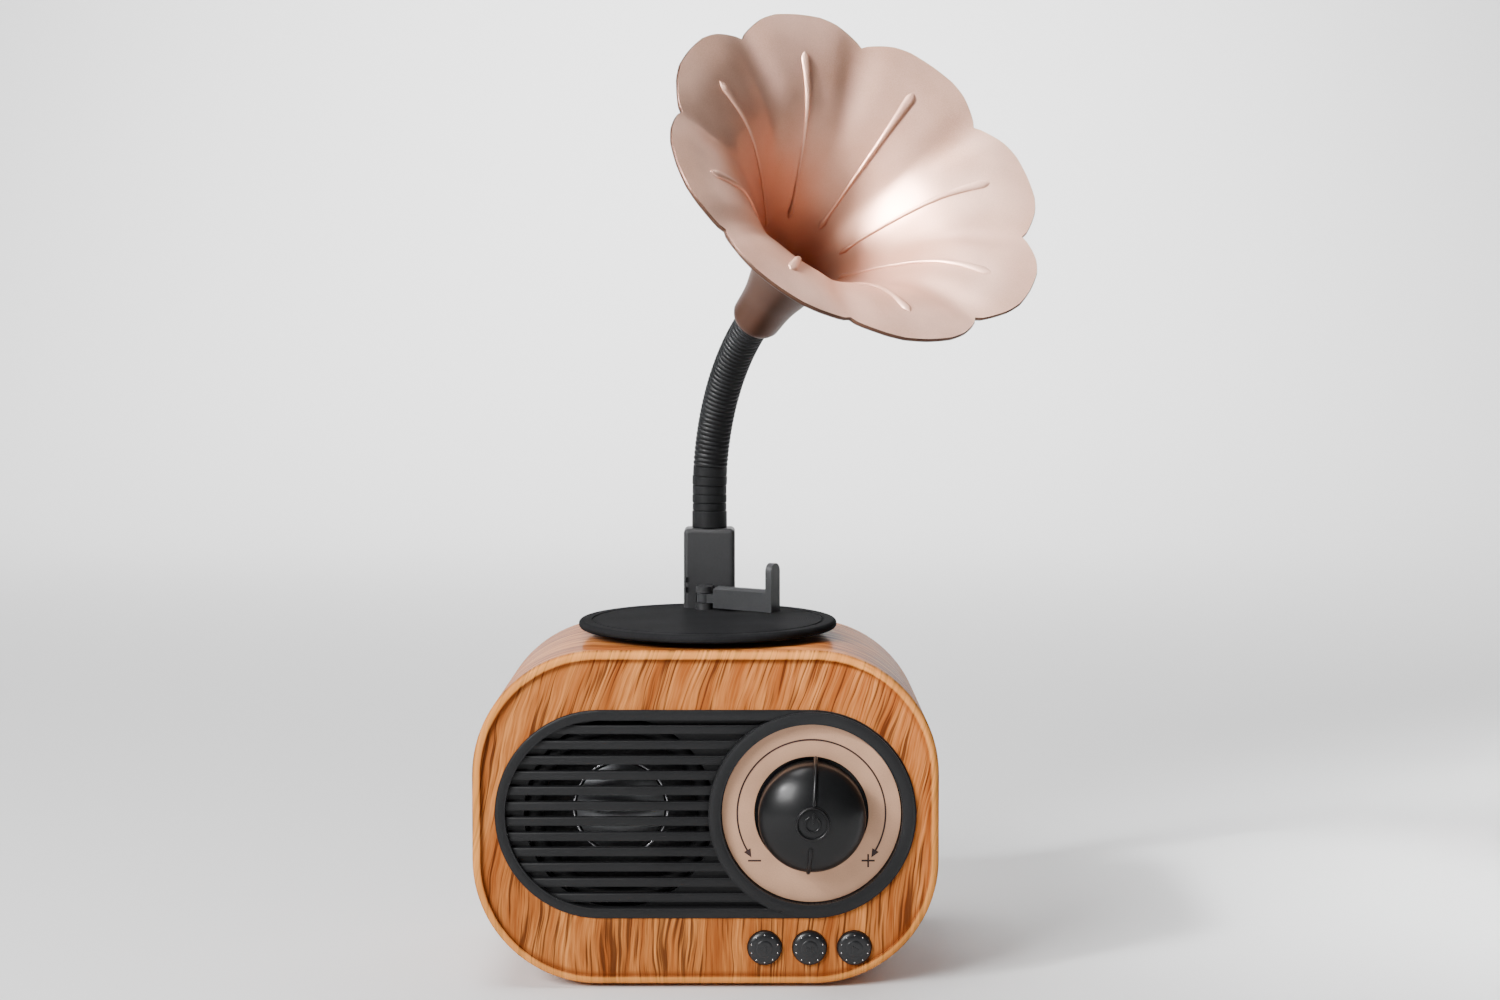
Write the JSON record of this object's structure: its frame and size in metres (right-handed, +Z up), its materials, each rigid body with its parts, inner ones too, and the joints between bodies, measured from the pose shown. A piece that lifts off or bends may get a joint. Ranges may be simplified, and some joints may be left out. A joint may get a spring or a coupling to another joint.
{
  "type": "horn loudspeaker",
  "caption": "Tabletop loudspeaker styled as a miniature gramophone: rounded wood-print cabinet, slatted front, turning volume dial, swivel platter, gooseneck and scalloped horn",
  "frame": {"origin": "centre of the rubber ring's underside, on the surface the cabinet stands on and on the platter's axis", "axes": "+Z up, +X to the listener's right, -Y towards the listener"},
  "size_m": [0.1337, 0.1031, 0.2313],
  "materials": {
    "wood_print_shell": "glossy wood-grain print under clear coat",
    "black_satin_plastic": "fine satin",
    "black_knob_plastic": "smooth satin",
    "platter_plastic": "satin with fine rings",
    "post_plastic": "fine textured",
    "arm_plastic": "satin",
    "neck_sleeve": "ribbed, satin",
    "rose_champagne": "pearlescent satin paint",
    "champagne_plate": "fine blasted, anodised",
    "dark_print": "printed",
    "soft_rubber": "matte",
    "bright_steel": "plated",
    "magnet_iron": "dark ferrite",
    "cone_paper": "matte pulp",
    "silver_cap": "polished",
    "nylon_washer": "matte",
    "circuit_board": "solder mask",
    "chip_black": "matte",
    "cell_sleeve": "shrink sleeve",
    "lead_insulation": "soft"
  },
  "bodies": {
    "cabinet": {"front_housing": "wood_print_shell", "rear_cover": "wood_print_shell", "rear_screws": "bright_steel", "rubber_foot": "soft_rubber", "front_panel": "black_satin_plastic", "mic_capsule": "bright_steel", "driver_basket": "bright_steel", "driver_magnet": "magnet_iron", "driver_surround": "soft_rubber", "driver_cone": "cone_paper", "dust_cap": "silver_cap", "driver_screws": "bright_steel", "dial_plate": "champagne_plate", "dial_marks": "dark_print", "encoder_can": "bright_steel", "tact_switches": "chip_black", "main_board": "circuit_board", "board_chips": "chip_black", "board_screws": "bright_steel", "port_board": "circuit_board", "port_board_screws": "bright_steel", "usb_socket": "bright_steel", "audio_jack": "chip_black", "card_slot": "bright_steel", "port_plate": "black_satin_plastic", "battery_cell": "cell_sleeve", "bearing_washer": "nylon_washer", "speaker_leads": "lead_insulation", "battery_leads": "lead_insulation", "port_harness": "lead_insulation"},
    "encoder_push": {"encoder_shaft": "bright_steel"},
    "knob": {"volume_knob": "black_knob_plastic"},
    "previous": {"button_previous": "black_knob_plastic"},
    "play": {"button_play": "black_knob_plastic"},
    "next": {"button_next": "black_knob_plastic"},
    "turntable": {"platter": "platter_plastic", "retainer": "bright_steel", "retainer_screw": "bright_steel", "post_screws": "bright_steel", "post": "post_plastic", "neck_set_screw": "bright_steel", "arm_pin": "bright_steel"},
    "arm": {"tonearm": "arm_plastic"},
    "neck_foot": {"gooseneck_base": "neck_sleeve"},
    "neck_1": {"gooseneck_link_1": "neck_sleeve"},
    "neck_2": {"gooseneck_link_2": "neck_sleeve"},
    "neck_3": {"gooseneck_link_3": "neck_sleeve"},
    "neck_4": {"gooseneck_link_4": "neck_sleeve"},
    "neck_5": {"gooseneck_link_5": "neck_sleeve"},
    "neck_6": {"gooseneck_link_6": "neck_sleeve"},
    "horn": {"gooseneck_tip": "neck_sleeve", "horn_bell": "rose_champagne"}
  },
  "joints": [
    {"name": "power_push", "type": "slide", "parent": "cabinet", "child": "encoder_push", "axis": [0, 1, 0], "range_m": [0, 0.0008], "stiffness_N_per_m": 600, "springref_m": -0.0004},
    {"name": "volume_turn", "type": "hinge", "parent": "encoder_push", "child": "knob", "pos_m": [0.02495, -0.033, 0.0413], "axis": [0, 1, 0], "range_deg": [-120, 120]},
    {"name": "previous_press", "type": "slide", "parent": "cabinet", "child": "previous", "axis": [0, 1, 0], "range_m": [0, 0.0006], "stiffness_N_per_m": 500, "springref_m": -0.0003},
    {"name": "play_press", "type": "slide", "parent": "cabinet", "child": "play", "axis": [0, 1, 0], "range_m": [0, 0.0006], "stiffness_N_per_m": 500, "springref_m": -0.0003},
    {"name": "next_press", "type": "slide", "parent": "cabinet", "child": "next", "axis": [0, 1, 0], "range_m": [0, 0.0006], "stiffness_N_per_m": 500, "springref_m": -0.0003},
    {"name": "platter_swivel", "type": "hinge", "parent": "cabinet", "child": "turntable", "pos_m": [0, 0, 0.081], "axis": [0, 0, 1], "continuous": true},
    {"name": "arm_swing", "type": "hinge", "parent": "turntable", "child": "arm", "pos_m": [-0.0012, 0.0184, 0.087], "axis": [0, 0, 1], "range_deg": [-30, 12]},
    {"name": "neck_swivel", "type": "hinge", "parent": "turntable", "child": "neck_foot", "pos_m": [0, 0.0258, 0.104], "axis": [0, 0, 1], "range_deg": [-150, 150]},
    {"name": "neck_bend", "type": "hinge", "parent": "neck_foot", "child": "neck_1", "pos_m": [0, 0.0258, 0.1164], "axis": [0.863, 0.5053, 0], "range_deg": [-7.7, 5]},
    {"name": "neck_bend_2", "type": "hinge", "parent": "neck_1", "child": "neck_2", "pos_m": [0.00051, 0.02493, 0.12384], "axis": [0.863, 0.5053, 0], "range_deg": [-7.7, 5]},
    {"name": "neck_bend_3", "type": "hinge", "parent": "neck_2", "child": "neck_3", "pos_m": [0.00153, 0.02319, 0.13106], "axis": [0.863, 0.5053, 0], "range_deg": [-7.7, 5]},
    {"name": "neck_bend_4", "type": "hinge", "parent": "neck_3", "child": "neck_4", "pos_m": [0.00302, 0.02063, 0.13796], "axis": [0.863, 0.5053, 0], "range_deg": [-7.7, 5]},
    {"name": "neck_bend_5", "type": "hinge", "parent": "neck_4", "child": "neck_5", "pos_m": [0.00498, 0.01729, 0.14438], "axis": [0.863, 0.5053, 0], "range_deg": [-7.7, 5]},
    {"name": "neck_bend_6", "type": "hinge", "parent": "neck_5", "child": "neck_6", "pos_m": [0.00736, 0.01324, 0.15023], "axis": [0.863, 0.5053, 0], "range_deg": [-7.7, 5]},
    {"name": "neck_bend_7", "type": "hinge", "parent": "neck_6", "child": "horn", "pos_m": [0.01011, 0.00854, 0.15539], "axis": [0.863, 0.5053, 0], "range_deg": [-7.7, 5]}
  ],
  "couplings": [
    {"joint": "neck_bend_2", "follows": "neck_bend", "ratio": 1},
    {"joint": "neck_bend_3", "follows": "neck_bend", "ratio": 1},
    {"joint": "neck_bend_4", "follows": "neck_bend", "ratio": 1},
    {"joint": "neck_bend_5", "follows": "neck_bend", "ratio": 1},
    {"joint": "neck_bend_6", "follows": "neck_bend", "ratio": 1},
    {"joint": "neck_bend_7", "follows": "neck_bend", "ratio": 1}
  ]
}
